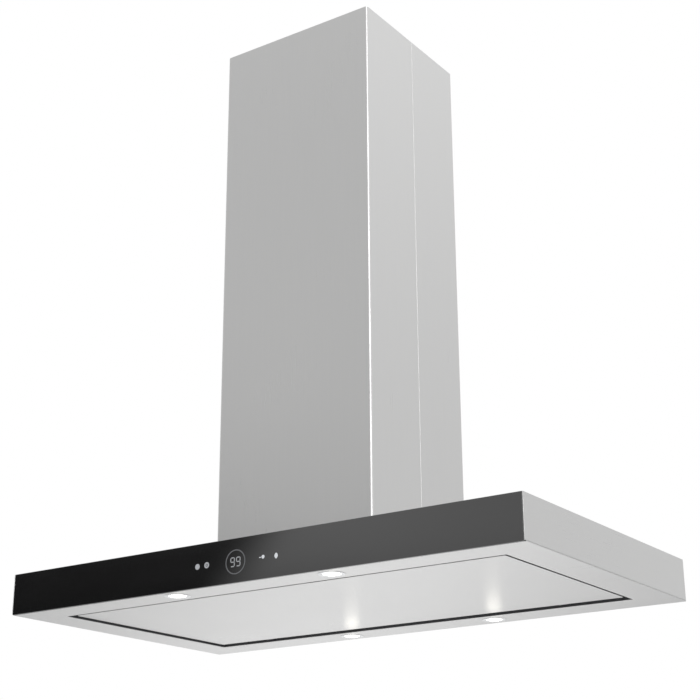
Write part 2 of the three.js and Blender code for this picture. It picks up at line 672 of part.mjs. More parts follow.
// ---------------------------------------------------------------- electrics
function displayModule() {
  const y = GLASS_Y + GAP;
  const body = centredSlab(2 * DISPLAY_HALF_W, DISPLAY_D, -DISPLAY_HALF_H, DISPLAY_HALF_H);
  return piece('display_module', 'black_plastic', body, 0, y + DISPLAY_D / 2, DISPLAY_Z);
}

function ledDriver() {
  const { x0, x1, y0, y1, top } = DRIVER;
  return piece('led_driver', 'white_plastic', slab(x0, x1, y0, y1, SHEET + GAP, top));
}

function terminalBox() {
  const { x0, x1, y0, y1, height } = TERMINAL;
  return piece('terminal_box', 'black_plastic', slab(x0, x1, y0, y1, COLLAR_Z, COLLAR_Z + height));
}

function cableGland() {
  const [bore, neck, nut] = [5, 8, 11];
  const profile = [[bore, 0], [nut, 0], [nut, 8], [neck, 10], [neck, GLAND_H], [bore, GLAND_H]];
  const gland = turned(profile, PIN_FACETS);
  const { x0, x1, y0, y1, height } = TERMINAL;
  return piece('cable_gland', 'grey_plastic', gland, (x0 + x1) / 2, (y0 + y1) / 2, COLLAR_Z + height + GAP);
}

function electrics() {
  return [displayModule(), ledDriver(), terminalBox(), cableGland()];
}

// ---------------------------------------------------------------- the whole hood
const hood = assembly(-TOTAL_H, [
  ...lowerFrame(),
  canopyTop(),
  canopySide('canopy_side_left', -1),
  canopySide('canopy_side_right', 1),
  canopyRear(),
  frontCarrier(),
  frontGlass(),
  bottomFrame(),
  filterShelf(),
  ...[1, 2, 3].flatMap(filterCassette),
  ...lamps(),
  perimeterPanel(),
  hingeBracket('hinge_bracket_left', -HINGE_X),
  hingeBracket('hinge_bracket_right', HINGE_X),
  hingePin('hinge_pin_left', -HINGE_X),
  hingePin('hinge_pin_right', HINGE_X),
  panelMagnet('panel_magnet_left', -HINGE_X),
  panelMagnet('panel_magnet_right', HINGE_X),
  blowerBox(),
  scrollLeft(),
  piece('scroll_right', 'black_plastic', scrollHalf(1)),
  motorBody(),
  motorShaft(),
  impeller(),
  outletCollar(),
  ...damper(),
  ...electrics(),
]);

const islandHood = new THREE.Group();
islandHood.add(ceilingMount(), hood);

export default islandHood;
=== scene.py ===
"""Island range hood: a brushed steel chimney over a flat canopy with a black glass front.

Metres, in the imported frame: z = 0 is the ceiling, -Y is the control front. Sheet metal, glass and
lamps are lofted from loops of points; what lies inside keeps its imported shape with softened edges.
"""

import json
import math

import bmesh
import bpy
import numpy as np
from mathutils import Matrix, Vector

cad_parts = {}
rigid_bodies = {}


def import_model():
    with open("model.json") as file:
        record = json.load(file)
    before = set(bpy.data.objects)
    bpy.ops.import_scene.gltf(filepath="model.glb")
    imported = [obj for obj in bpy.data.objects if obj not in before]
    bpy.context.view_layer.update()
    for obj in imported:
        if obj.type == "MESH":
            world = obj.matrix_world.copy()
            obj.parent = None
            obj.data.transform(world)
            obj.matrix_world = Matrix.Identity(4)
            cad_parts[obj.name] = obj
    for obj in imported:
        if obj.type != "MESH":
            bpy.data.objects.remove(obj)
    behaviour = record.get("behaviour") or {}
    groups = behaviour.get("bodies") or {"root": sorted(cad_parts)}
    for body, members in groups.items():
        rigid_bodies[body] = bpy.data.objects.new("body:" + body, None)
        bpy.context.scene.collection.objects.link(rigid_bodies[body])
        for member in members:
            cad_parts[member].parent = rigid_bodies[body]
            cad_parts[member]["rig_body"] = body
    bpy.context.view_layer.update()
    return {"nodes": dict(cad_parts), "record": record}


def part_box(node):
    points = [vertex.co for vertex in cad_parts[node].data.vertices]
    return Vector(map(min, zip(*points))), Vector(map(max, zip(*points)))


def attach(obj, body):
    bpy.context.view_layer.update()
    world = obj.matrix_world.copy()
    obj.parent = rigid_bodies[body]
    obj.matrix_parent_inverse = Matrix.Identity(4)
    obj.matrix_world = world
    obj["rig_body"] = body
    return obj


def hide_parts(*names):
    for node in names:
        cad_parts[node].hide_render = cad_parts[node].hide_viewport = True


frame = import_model()

MM = 0.001
MERGE = 1e-6
SOFT_EDGE = 0.35 * MM
SOFT_ANGLE = math.radians(40)  # edges that turn more than this are softened
SMOOTH_ANGLE = math.radians(32)
FLAT_ANGLE = math.radians(0.5)  # faces that turn less than this are one flat


def corners(node):
    """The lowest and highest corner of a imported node, as arrays."""
    low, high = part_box(node)
    return np.array(low), np.array(high)


# ------------------------------------------------------------------ camera
CAMERA_AT = (1.5287, -2.2095, -1.5944)
CAMERA_LENS = 76.86  # on a 36 mm wide sensor
CAMERA_YAW = math.radians(34.355)
CAMERA_PITCH = math.radians(19.930)
CAMERA_ROLL = math.radians(-0.315)


def place_camera():
    """A level camera turned by the yaw, raised by the pitch and then rolled about its own axis."""
    data = bpy.data.cameras.new("studio_camera")
    data.lens = CAMERA_LENS
    data.sensor_width = 36
    data.clip_end = 60
    camera = bpy.data.objects.new("studio_camera", data)
    bpy.context.scene.collection.objects.link(camera)
    bpy.context.scene.camera = camera
    cos_pitch = math.cos(CAMERA_PITCH)
    ahead = Vector((-math.sin(CAMERA_YAW) * cos_pitch, math.cos(CAMERA_YAW) * cos_pitch,
                    math.sin(CAMERA_PITCH)))
    level = Vector((math.cos(CAMERA_YAW), math.sin(CAMERA_YAW), 0))
    upright = level.cross(ahead)
    right = math.cos(CAMERA_ROLL) * level + math.sin(CAMERA_ROLL) * upright
    up = right.cross(ahead)
    turn = Matrix((right, up, -ahead)).transposed()
    camera.matrix_world = Matrix.Translation(CAMERA_AT) @ turn.to_4x4()


place_camera()


# ------------------------------------------------------------------ node helpers
def new_tree(material):
    """A node tree with nothing but a surface shader joined to the output. Gives both back."""
    material.use_nodes = True
    tree = material.node_tree
    tree.nodes.clear()
    output = tree.nodes.new("ShaderNodeOutputMaterial")
    shader = tree.nodes.new("ShaderNodeBsdfPrincipled")
    tree.links.new(shader.outputs["BSDF"], output.inputs["Surface"])
    return tree, shader


def place_pattern(tree, scale, turn=(0, 0, 0)):
    """Object coordinates, turned and then stretched by scale, for a pattern to read."""
    coordinates = tree.nodes.new("ShaderNodeTexCoord")
    mapping = tree.nodes.new("ShaderNodeMapping")
    mapping.inputs["Rotation"].default_value = turn
    mapping.inputs["Scale"].default_value = scale
    tree.links.new(coordinates.outputs["Object"], mapping.inputs["Vector"])
    return mapping.outputs["Vector"]


def noise(tree, place, scale, detail=3.0):
    """Clouds between 0 and 1, finer as the scale grows."""
    node = tree.nodes.new("ShaderNodeTexNoise")
    node.inputs["Scale"].default_value = scale
    node.inputs["Detail"].default_value = detail
    tree.links.new(place, node.inputs["Vector"])
    return node.outputs["Fac"]


def cells(tree, place, scale, output="Color"):
    """Cells round scattered points: a colour for each, or the distance from its point."""
    node = tree.nodes.new("ShaderNodeTexVoronoi")
    node.inputs["Scale"].default_value = scale
    tree.links.new(place, node.inputs["Vector"])
    return node.outputs[output]


def spread(tree, value, low, high, start=0.3, end=0.7):
    """The value, stretched from start..end to low..high and clamped."""
    node = tree.nodes.new("ShaderNodeMapRange")
    node.inputs["From Min"].default_value = start
    node.inputs["From Max"].default_value = end
    node.inputs["To Min"].default_value = low
    node.inputs["To Max"].default_value = high
    tree.links.new(value, node.inputs["Value"])
    return node.outputs["Result"]


def between(tree, factor, first, second):
    """A colour between two, by the factor."""
    node = tree.nodes.new("ShaderNodeMix")
    node.data_type = "RGBA"
    node.inputs[6].default_value = (*first, 1)
    node.inputs[7].default_value = (*second, 1)
    tree.links.new(factor, node.inputs["Factor"])
    return node.outputs[2]


def arithmetic(tree, operation, *values):
    """One sum of numbers or other nodes' results."""
    node = tree.nodes.new("ShaderNodeMath")
    node.operation = operation
    for slot, value in zip(node.inputs, values):
        if isinstance(value, (int, float)):
            slot.default_value = value
        else:
            tree.links.new(value, slot)
    return node.outputs[0]


def product(tree, first, *others):
    """The values multiplied together."""
    for other in others:
        first = arithmetic(tree, "MULTIPLY", first, other)
    return first


def raise_surface(tree, shader, height, distance, strength):
    """Bumps the surface by the height, as deep as the distance where the strength is 1."""
    node = tree.nodes.new("ShaderNodeBump")
    node.inputs["Distance"].default_value = distance
    node.inputs["Strength"].default_value = strength
    tree.links.new(height, node.inputs["Height"])
    tree.links.new(node.outputs["Normal"], shader.inputs["Normal"])


def shade(colour, factor):
    """The colour made lighter or darker."""
    return tuple(min(1.0, channel * factor) for channel in colour)


# ------------------------------------------------------------------ finishes
STEEL = (0.66, 0.66, 0.657)
STEEL_ROUGHNESS = 0.3
LINES_ACROSS, LINES_ALONG = 1400.0, 7.0  # hair lines per metre across the grain and along it
OFF_LATTICE = (0.7, 0.5, 0.4)  # turns a pattern off the flat faces, where it would read uneven
GLASS_INDEX = 2.05  # a coated pane: it mirrors more than plain glass


def brushed(name, grain):
    """Steel brushed along one axis: noise stretched along the grain varies the colour and the
    roughness and cuts hair lines, and a broad noise leaves faint handling marks."""
    material = bpy.data.materials.new(name)
    tree, shader = new_tree(material)
    stretch = [LINES_ALONG if axis == grain else LINES_ACROSS for axis in "xyz"]
    lines = noise(tree, place_pattern(tree, stretch, OFF_LATTICE), 1.0, 3.0)
    marks = noise(tree, place_pattern(tree, (1, 1, 1)), 5.0, 2.0)
    tone = between(tree, spread(tree, lines, 0, 1), shade(STEEL, 0.988), shade(STEEL, 1.012))
    tree.links.new(tone, shader.inputs["Base Color"])
    fine = spread(tree, lines, -0.02, 0.02)
    broad = spread(tree, marks, STEEL_ROUGHNESS - 0.01, STEEL_ROUGHNESS + 0.015)
    tree.links.new(arithmetic(tree, "ADD", fine, broad), shader.inputs["Roughness"])
    raise_surface(tree, shader, lines, 0.004 * MM, 0.4)
    shader.inputs["Metallic"].default_value = 1.0
    return material


def zinc():
    """Galvanised sheet: flat crystals of slightly different grey, each with its own roughness."""
    material = bpy.data.materials.new("galvanised")
    tree, shader = new_tree(material)
    place = place_pattern(tree, (1, 1, 1))
    spangle = cells(tree, place, 85.0)
    grey = tree.nodes.new("ShaderNodeRGBToBW")
    tree.links.new(spangle, grey.inputs["Color"])
    crystal = grey.outputs["Val"]
    dark, light = (0.46, 0.48, 0.50), (0.62, 0.64, 0.65)
    tone = between(tree, spread(tree, crystal, 0, 1, 0.1, 0.9), dark, light)
    tree.links.new(tone, shader.inputs["Base Color"])
    tree.links.new(spread(tree, crystal, 0.38, 0.55, 0.1, 0.9), shader.inputs["Roughness"])
    raise_surface(tree, shader, noise(tree, place, 400.0), 0.03 * MM, 0.4)
    shader.inputs["Metallic"].default_value = 1.0
    return material


def bare_metal(name, colour, roughness, grain=300.0):
    """Plain metal with a fine cloudy grain in its tone, roughness and surface."""
    material = bpy.data.materials.new(name)
    tree, shader = new_tree(material)
    grains = noise(tree, place_pattern(tree, (1, 1, 1)), grain)
    tone = between(tree, spread(tree, grains, 0, 1), shade(colour, 0.93), shade(colour, 1.05))
    tree.links.new(tone, shader.inputs["Base Color"])
    tree.links.new(spread(tree, grains, 0.8 * roughness, 1.2 * roughness),
                   shader.inputs["Roughness"])
    raise_surface(tree, shader, grains, 0.02 * MM, 0.4)
    shader.inputs["Metallic"].default_value = 1.0
    return material


def moulded(name, colour, roughness):
    """Moulded plastic: a fine spark-eroded grain and faint flow clouds."""
    material = bpy.data.materials.new(name)
    tree, shader = new_tree(material)
    place = place_pattern(tree, (1, 1, 1))
    grain = noise(tree, place, 1400.0, 2.0)
    clouds = noise(tree, place, 22.0, 2.0)
    tone = between(tree, spread(tree, clouds, 0, 1), shade(colour, 0.88), shade(colour, 1.12))
    tree.links.new(tone, shader.inputs["Base Color"])
    tree.links.new(spread(tree, grain, roughness - 0.06, roughness + 0.06),
                   shader.inputs["Roughness"])
    raise_surface(tree, shader, grain, 0.04 * MM, 0.6)
    return material


def glass_black():
    """Black-backed toughened glass: mirror smooth, with a trace of wiping haze in its roughness."""
    material = bpy.data.materials.new("black_glass")
    tree, shader = new_tree(material)
    place = place_pattern(tree, (3, 3, 9), (0, 0.5, 0))
    haze = noise(tree, place, 3.0, 4.0)
    tree.links.new(spread(tree, haze, 0.03, 0.06), shader.inputs["Roughness"])
    ink, thin_ink = (0.0016, 0.0016, 0.0018), (0.0026, 0.0026, 0.0028)
    tree.links.new(between(tree, spread(tree, haze, 0, 1), ink, thin_ink),
                   shader.inputs["Base Color"])
    shader.inputs["IOR"].default_value = GLASS_INDEX
    return material


def filter_with_painted_shade():
    """Layers of expanded aluminium: diamonds of strands in the metal's colour, with painted shade in
    the openings between them.
    """
    material = bpy.data.materials.new("filter_layers")
    tree, shader = new_tree(material)
    place = place_pattern(tree, (1, 1, 1))
    layers = noise(tree, place, 260.0, 3.0)
    depth = tree.nodes.new("ShaderNodeAttribute")
    depth.attribute_name = "strand"
    unshaded_share = product(tree, depth.outputs["Fac"], spread(tree, layers, 0.75, 1.1))
    # near black in the openings: painted shade where the holes of the real mesh show the dark inside
    painted_opening_shade, crown = (0.10, 0.10, 0.105), (0.74, 0.75, 0.76)
    tone = between(tree, spread(tree, unshaded_share, 0, 1, 0.15, 0.75), painted_opening_shade, crown)
    tree.links.new(tone, shader.inputs["Base Color"])
    tree.links.new(spread(tree, layers, 0.3, 0.5), shader.inputs["Roughness"])
    raise_surface(tree, shader, layers, 0.1 * MM, 0.5)
    shader.inputs["Metallic"].default_value = 1.0
    return material


def lit_lens():
    """A frosted lens lit from behind: small prisms vary the glow a little."""
    material = bpy.data.materials.new("lamp_lens")
    tree, shader = new_tree(material)
    place = place_pattern(tree, (1, 1, 1))
    prisms = cells(tree, place, 900.0, output="Distance")
    tree.links.new(spread(tree, prisms, 5.5, 4.2, 0.0, 0.8), shader.inputs["Emission Strength"])
    shader.inputs["Emission Color"].default_value = (1.0, 0.97, 0.9, 1)
    shader.inputs["Base Color"].default_value = (0.95, 0.95, 0.93, 1)
    raise_surface(tree, shader, prisms, 0.15 * MM, 0.5)
    shader.inputs["Roughness"].default_value = 0.35
    return material


def glowing_print(name, level):
    """A mark on the glass lit from behind, a little uneven as a diffuser is."""
    material = bpy.data.materials.new(name)
    tree, shader = new_tree(material)
    clouds = noise(tree, place_pattern(tree, (1, 1, 1)), 500.0, 2.0)
    tree.links.new(spread(tree, clouds, 0.9 * level, 1.08 * level),
                   shader.inputs["Emission Strength"])
    shader.inputs["Emission Color"].default_value = (0.93, 0.96, 1.0, 1)
    shader.inputs["Base Color"].default_value = (0.06, 0.06, 0.065, 1)
    tree.links.new(spread(tree, clouds, 0.3, 0.4), shader.inputs["Roughness"])
    return material


FINISHES = {
    "steel_upright": brushed("steel_brushed_upright", "z"),
    "steel_across": brushed("steel_brushed_across", "x"),
    "steel_deep": brushed("steel_brushed_deep", "y"),
    "galvanised": zinc(),
    "black_glass": glass_black(),
    "aluminium": bare_metal("aluminium", (0.78, 0.79, 0.80), 0.32),
    "filter_layers": filter_with_painted_shade(),
    "black_plastic": moulded("black_plastic", (0.035, 0.035, 0.038), 0.5),
    "grey_plastic": moulded("grey_plastic", (0.28, 0.29, 0.30), 0.45),
    "white_plastic": moulded("white_plastic", (0.80, 0.80, 0.78), 0.42),
    "lamp_lens": lit_lens(),
    "display_ring": glowing_print("display_ring", 0.06),
    "display_figures": glowing_print("display_figures", 0.27),
    "display_dots": glowing_print("display_dots", 0.34),
    "display_icons": glowing_print("display_icons", 0.62),
    "chrome": bare_metal("chrome", (0.86, 0.87, 0.88), 0.14),
    "motor_steel": bare_metal("motor_enamel", (0.14, 0.15, 0.16), 0.4, 180.0),
    "black_zinc": bare_metal("black_zinc", (0.03, 0.03, 0.033), 0.5),
}


# ------------------------------------------------------------------ loops and lofts
def rounded_rectangle(x0, x1, y0, y1, radius, z, steps=5):
    """A loop of points anticlockwise round a rectangle, each corner a quarter circle."""
    turn = np.linspace(0, np.pi / 2, steps + 1)
    quarter = np.repeat(np.arange(4), steps + 1)
    angle = np.tile(turn, 4) + quarter * np.pi / 2
    centre_x = np.where((quarter == 0) | (quarter == 3), x1 - radius, x0 + radius)
    centre_y = np.where(quarter < 2, y1 - radius, y0 + radius)
    return np.column_stack([centre_x + radius * np.cos(angle),
                            centre_y + radius * np.sin(angle), np.full(angle.size, z)])


def circle(x, y, radius, z, steps=64):
    """A loop of points anticlockwise round a circle."""
    angle = np.arange(steps) * 2 * np.pi / steps
    return np.column_stack([x + radius * np.cos(angle), y + radius * np.sin(angle),
                            np.full(steps, z)])


def quarter(steps):
    """Sine and cosine of a quarter turn from 0, for a round edge in a section."""
    return [(math.sin(a), math.cos(a)) for a in np.linspace(0, math.pi / 2, steps + 1)]


def mesh_of(name, points, faces):
    """A mesh from points and faces, its doubles merged and its faces turned outwards."""
    mesh = bpy.data.meshes.new(name)
    mesh.from_pydata(np.asarray(points).reshape(-1, 3).tolist(), [], faces)
    shape = bmesh.new()
    shape.from_mesh(mesh)
    bmesh.ops.remove_doubles(shape, verts=shape.verts, dist=MERGE)
    bmesh.ops.recalc_face_normals(shape, faces=shape.faces)
    shape.to_mesh(mesh)
    shape.free()
    return mesh


def faces_between(rows, count, ends, first=0):
    """Faces between neighbouring loops of count points, numbered from first. The end loops are
    capped, or joined to each other in a ring."""
    index = first + np.arange(rows * count).reshape(rows, count)
    lower, upper = (index, np.roll(index, -1, 0)) if ends == "ring" else (index[:-1], index[1:])
    quads = np.stack([lower, np.roll(lower, -1, 1), np.roll(upper, -1, 1), upper], -1)
    faces = quads.reshape(-1, 4).tolist()
    if ends == "caps":
        faces += [index[0][::-1].tolist(), index[-1].tolist()]
    return faces


def lofted(name, loops, ends="caps"):
    """A mesh over a stack of loops, its ends capped or joined in a ring."""
    loops = np.asarray(loops)
    return mesh_of(name, loops, faces_between(*loops.shape[:2], ends))


def turned(name, profile, x, y, z, ends="caps", steps=64):
    """A profile of (radius, height) turned round an upright axis through x and y."""
    loops = [circle(x, y, radius, z + height, steps) for radius, height in profile]
    return lofted(name, loops, ends)


def unit(vector):
    """The vector at length 1."""
    return vector / np.linalg.norm(vector)


def bent_strip(points, radii, thickness, steps=6):
    """The outline of a strip of sheet whose outer face follows the points, with a round bend of
    the given radius at each inner point. The outer face is on the left of the way along."""
    points = np.asarray(points, float)
    left = [unit(np.array([-(b - a)[1], (b - a)[0]])) for a, b in zip(points[:-1], points[1:])]
    outer = [points[:1]]
    inner = [points[:1] - thickness * left[0]]
    for before, here, after, radius in zip(points[:-2], points[1:-1], points[2:], radii):
        back, on = unit(before - here), unit(after - here)
        half = math.acos(np.clip(back @ on, -1, 1)) / 2
        centre = here + unit(back + on) * radius / math.sin(half)
        start = here + back * radius / math.tan(half) - centre
        end = here + on * radius / math.tan(half) - centre
        first, last = math.atan2(start[1], start[0]), math.atan2(end[1], end[0])
        sweep = (last - first + math.pi) % (2 * math.pi) - math.pi
        angle = first + sweep * np.linspace(0, 1, steps + 1)
        spoke = np.column_stack([np.cos(angle), np.sin(angle)])
        outward = 1 if sweep < 0 else -1
        outer.append(centre + radius * spoke)
        inner.append(centre + (radius - outward * thickness) * spoke)
    outer.append(points[-1:])
    inner.append(points[-1:] - thickness * left[-1])
    return np.concatenate([np.concatenate(outer), np.concatenate(inner)[::-1]])


def lifted(outline, z):
    """An outline in (x, y) moved to z."""
    return np.column_stack([outline, np.full(len(outline), z)])


def pushed_along_x(outline, x):
    """An outline in (y, z) moved to x."""
    return np.column_stack([np.full(len(outline), x), outline])


def piece(name, mesh, finish, body, nodes=(), soften=SOFT_EDGE, segments=2):
    """Puts a mesh in the scene with its finish and softened edges, riding on a body."""
    mesh.polygons.foreach_set("use_smooth", np.ones(len(mesh.polygons), bool))
    mesh.set_sharp_from_angle(angle=SMOOTH_ANGLE)
    made = bpy.data.objects.new(name, mesh)
    bpy.context.scene.collection.objects.link(made)
    mesh.materials.append(FINISHES[finish])
    if soften:
        bevel = made.modifiers.new("softened", "BEVEL")
        bevel.width = soften
        bevel.segments = segments
        bevel.limit_method = "ANGLE"
        bevel.angle_limit = SOFT_ANGLE
    flat = made.modifiers.new("true_flats", "WEIGHTED_NORMAL")
    flat.weight = 100
    flat.keep_sharp = True
    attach(made, body)
    if nodes:
        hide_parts(*nodes)
    return made


def block(name, low, high, radius, finish, body, nodes=()):
    """A plate or box with round upright corners and softened edges."""
    (x0, y0, z0), (x1, y1, z1) = low, high
    loops = [rounded_rectangle(x0, x1, y0, y1, radius, z) for z in (z0, z1)]
    return piece(name, lofted(name, loops), finish, body, nodes)


def punched(made, cutters):
    """Cuts the cutters out of a piece and keeps the result as its mesh."""
    later = list(made.modifiers)
    for modifier in later:
        modifier.show_viewport = False
    for cutter in cutters:
        hole = bpy.data.objects.new("punch", cutter)
        bpy.context.scene.collection.objects.link(hole)
        cut = made.modifiers.new("punch", "BOOLEAN")
        cut.operation = "DIFFERENCE"
        cut.solver = "EXACT"
        cut.object = hole
        bpy.context.view_layer.update()
        view = made.evaluated_get(bpy.context.evaluated_depsgraph_get())
        made.data = bpy.data.meshes.new_from_object(view)
        made.modifiers.remove(cut)
        bpy.data.objects.remove(hole)
    for modifier in later:
        modifier.show_viewport = True
    return made


# ------------------------------------------------------------------ chimney
COVER_T = 1.0 * MM
LOWER_BEND = 5.6 * MM
UPPER_BEND = 3.4 * MM
HEM = 2.3 * MM
HEM_R = 0.8 * MM


def chimney_cover(node, bend, body):
    """A U of sheet with round corners, its two edges turned in at the seam."""
    low, high = corners(node)
    half_width = high[0]
    front = abs(low[1]) > abs(high[1])
    reach = low[1] if front else high[1]
    seam = high[1] if front else low[1]
    right = [(half_width - HEM, seam), (half_width, seam), (half_width, reach)]
    left = [(-x, y) for x, y in reversed(right)]
    points = right + left if front else (right + left)[::-1]
    radii = (HEM_R, bend, bend, HEM_R)
    outline = bent_strip(points, radii, COVER_T)
    levels = [lifted(outline, z) for z in np.linspace(low[2], high[2], 5)]
    return piece(node + "_sheet", lofted(node, levels), "steel_upright", body, [node], 0.2 * MM)


for place in ("front", "rear"):
    chimney_cover(f"lower_cover_{place}", LOWER_BEND, "hood")
    chimney_cover(f"upper_cover_{place}", UPPER_BEND, "ceiling_mount")


# ------------------------------------------------------------------ canopy
GLASS_LOW, GLASS_HIGH = corners("front_glass")
UNDERSIDE = GLASS_LOW[2]
ARRIS = 0.7 * MM


def canopy_top():
    """A flat sheet between two rectangular loops, the outer edge and the throat."""
    low, high = corners("canopy_top")
    throat_low, throat_high = corners("blower_box")
    lap, corner_r = 3 * MM, 1.5 * MM
    outer = (low[0], high[0], low[1], high[1], corner_r)
    inner = (throat_low[0] + lap, throat_high[0] - lap, throat_low[1] + lap,
             throat_high[1] - lap, corner_r)
    loops = [rounded_rectangle(*inner, low[2]), rounded_rectangle(*outer, low[2]),
             rounded_rectangle(*outer, high[2]), rounded_rectangle(*inner, high[2])]
    return piece("canopy_top_sheet", lofted("canopy_top", loops, "ring"), "steel_across", "hood",
                 ["canopy_top"])


def side_panel(node):
    """A side sheet whose upright front and rear edges are rounded over."""
    low, high = corners(node)
    return block(node + "_sheet", low, high, 0.55 * MM, "steel_deep", "hood", [node])


def front_glass():
    """The glass pane: a rounded block with polished, arrised edges."""
    made = block("front_glass_pane", GLASS_LOW, GLASS_HIGH, 0.8 * MM, "black_glass", "hood",
                 ["front_glass"])
    made.modifiers["softened"].width = ARRIS
    made.modifiers["softened"].segments = 3
    return made


FRAME_LOW, FRAME_HIGH = corners("bottom_frame")
SHEET = 1.2 * MM
LEAST_BEND = 0.15 * MM  # the inside of a sharp bend in the sheet
OPENING_X = 461 * MM
OPENING_Y = 231 * MM
OPENING_R = 2.0 * MM
FRAME_BEND = 1.0 * MM
TRAY_BEND = 0.5 * MM
TRAY_R = 3.0 * MM
KNUCKLE_R, KNUCKLE_BORE_R = 4.8 * MM, 2.85 * MM
KNUCKLE_REACH = 8 * MM
# the thickness of the black strip of painted shade inside the opening's flange
SHADE_STRIP_T = 0.9 * MM
LAMP_HOLE_R = 18 * MM
CUTTER_REACH = 5 * MM
LAMPS = ("front_left", "front_right", "rear_left", "rear_right")


def lamp_centre(lamp):
    """The middle of a lamp's packed lens."""
    low, high = corners(f"lamp_lens_{lamp}")
    return (low + high) / 2


def bottom_frame():
    """The underside frame: a flat band, then a round bend up into the flange of the opening.
    The loops run round the section of the sheet, outer face first, and close in a ring."""
    z = FRAME_LOW[2]
    top = FRAME_HIGH[2]

    def opening(offset, height):
        return rounded_rectangle(-OPENING_X - offset, OPENING_X + offset, -OPENING_Y - offset,
                                 OPENING_Y + offset, OPENING_R + offset, height)

    def edge(height):
        return rounded_rectangle(FRAME_LOW[0], FRAME_HIGH[0], FRAME_LOW[1], FRAME_HIGH[1],
                                 1.0 * MM, height)

    under = [opening(FRAME_BEND * (1 - s), z + FRAME_BEND * (1 - c)) for s, c in quarter(5)]
    inner_r = max(FRAME_BEND - SHEET, LEAST_BEND)
    over = [opening(SHEET + inner_r * (1 - s), z + SHEET + inner_r * (1 - c))
            for s, c in quarter(5)[::-1]]
    loops = [edge(z), *under, opening(0, top), opening(SHEET, top), *over, edge(z + SHEET)]
    made = piece("bottom_frame_sheet", lofted("bottom_frame", loops, "ring"), "steel_across",
                 "hood", ["bottom_frame"], 0.25 * MM)
    bore = [(LAMP_HOLE_R, -CUTTER_REACH), (LAMP_HOLE_R, CUTTER_REACH)]
    return punched(made, [turned("hole", bore, *lamp_centre(lamp)[:2], z) for lamp in LAMPS])


def perimeter_panel():
    """A shallow tray: walls, a round bend and a flat floor, and the same inside at sheet depth."""
    node = "perimeter_panel"
    low, high = corners(node)
    half_x, half_y = high[0], -low[1]

    def ring(inset, height):
        return rounded_rectangle(-half_x + inset, half_x - inset, -half_y + inset,
                                 half_y - inset, max(TRAY_R - inset, 0.4 * MM), height)

    outer = [ring(TRAY_BEND * (1 - s), low[2] + TRAY_BEND * (1 - c)) for s, c in quarter(5)]
    inner = [ring(SHEET + LEAST_BEND * (1 - s), low[2] + SHEET + LEAST_BEND * (1 - c))
             for s, c in quarter(5)]
    loops = [*outer, ring(0, high[2]), ring(SHEET, high[2]), *inner[::-1]]
    return piece("perimeter_panel_tray", lofted(node, loops), "steel_across", "panel", [node],
                 0.15 * MM)


def panel_knuckles():
    """The panel's two hinge knuckles: a strip from the tray's rear wall, rolled round the pin.
    The roll is an arc of 315 degrees about the pin's axis."""
    tray_back = -corners("perimeter_panel")[0][1]
    sunk = tray_back - 0.3 * MM
    for side in ("left", "right"):
        low, high = corners(f"hinge_pin_{side}")
        pin_y, pin_z = (low[1] + high[1]) / 2, (low[2] + high[2]) / 2
        bracket_low, bracket_high = corners(f"hinge_bracket_{side}")
        middle = (bracket_low[0] + bracket_high[0]) / 2
        angle = np.radians(np.linspace(-100, 215, 40))
        spoke = np.column_stack([np.cos(angle), np.sin(angle)])
        axis = np.array([pin_y, pin_z])
        foot = np.array([[sunk, pin_z - KNUCKLE_R + 0.2 * MM]])
        lip = np.array([[sunk, pin_z - KNUCKLE_BORE_R]])
        outline = np.concatenate([foot, axis + KNUCKLE_R * spoke,
                                  (axis + KNUCKLE_BORE_R * spoke)[::-1], lip])
        loops = [pushed_along_x(outline, middle + reach)
                 for reach in np.linspace(-KNUCKLE_REACH, KNUCKLE_REACH, 3)]
        piece(f"panel_knuckle_{side}", lofted("panel_knuckle", loops), "black_plastic", "panel",
              (), 0.2 * MM)


def slot_shade_strip():
    """A black strip of black plastic lining the inside of the opening's flange: painted shade that
    keeps the slots dark.
    """
    base, top = FRAME_LOW[2] + FRAME_BEND, FRAME_HIGH[2] - 0.3 * MM

    def ring(inset, height):
        return rounded_rectangle(-OPENING_X + inset, OPENING_X - inset, -OPENING_Y + inset,
                                 OPENING_Y - inset, OPENING_R - 0.1 * MM - inset, height)

    section = [(0, base), (0.6 * SHADE_STRIP_T, base + 0.1 * MM), (SHADE_STRIP_T, base + 0.7 * MM),
               (SHADE_STRIP_T, top), (0, top)]
    loops = [ring(inset, height) for inset, height in section]
    return piece("slot_shade_strip", lofted("slot_shade_strip", loops, "ring"), "black_plastic", "hood", (),
                 None)


canopy_top()
# a black strip of painted shade lining the opening's flange, so the slots read dark
slot_shade_strip()
side_panel("canopy_side_left")
side_panel("canopy_side_right")
block("canopy_rear_sheet", *corners("canopy_rear"), 0.5 * MM, "steel_across", "hood",
      ["canopy_rear"])
front_glass()
bottom_frame()
perimeter_panel()
panel_knuckles()


# ------------------------------------------------------------------ lamps
BEZEL_R = 23 * MM
LENS_R = 15 * MM
DOME = 0.9 * MM
GLOW_WATTS = 0.0085
GLOW_COLOUR = (1.0, 0.96, 0.86)
GLOW_R = 15 * MM
GLOW_DROP = 32 * MM


